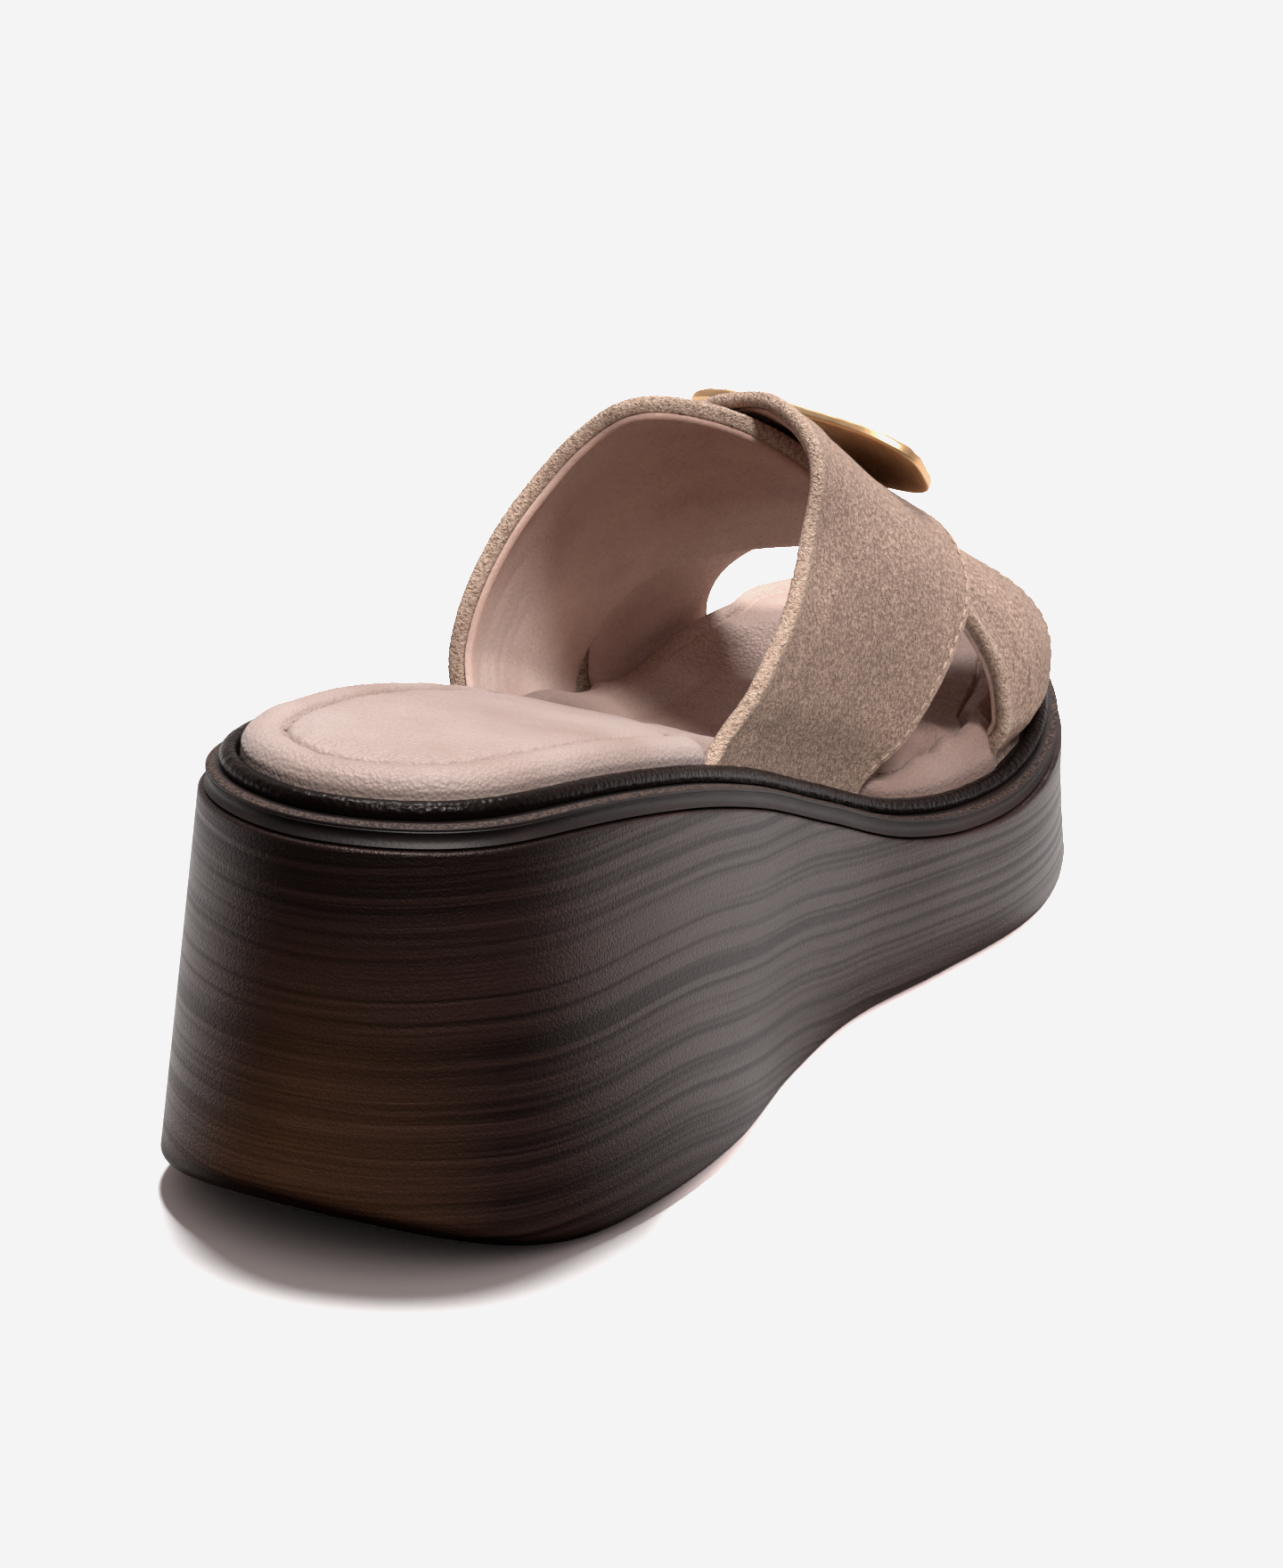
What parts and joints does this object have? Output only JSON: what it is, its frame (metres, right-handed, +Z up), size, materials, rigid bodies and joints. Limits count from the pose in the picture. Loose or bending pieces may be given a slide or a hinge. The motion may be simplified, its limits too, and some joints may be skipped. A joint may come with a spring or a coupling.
{
  "type": "platform sandal",
  "caption": "Left platform slide sandal: wedge sole with wood-look flank, padded insole, crossed suede straps and a metal plate on the instep.",
  "frame": {"origin": "on the floor, under the middle of the sole's length and width", "axes": "+X from heel to toe, +Y to the lateral (outer) side of this left shoe, +Z up"},
  "size_m": [0.25, 0.0862, 0.1049],
  "materials": {
    "wood_grain": "dark brown stain, satin, fine level grain",
    "welt_rubber": "smooth, semi-gloss",
    "rand_leather": "glossy dark leather roll",
    "nude_leather": "soft pebble-grain leather over foam",
    "suede": "napped suede, matt, with smooth lining",
    "gold_metal": "polished pale gold, dented rim"
  },
  "bodies": {
    "root": {"wedge_sole": "wood_grain", "welt": "welt_rubber", "rand": "rand_leather", "insole": "nude_leather", "upper": "suede", "ornament": "gold_metal"}
  },
  "joints": []
}
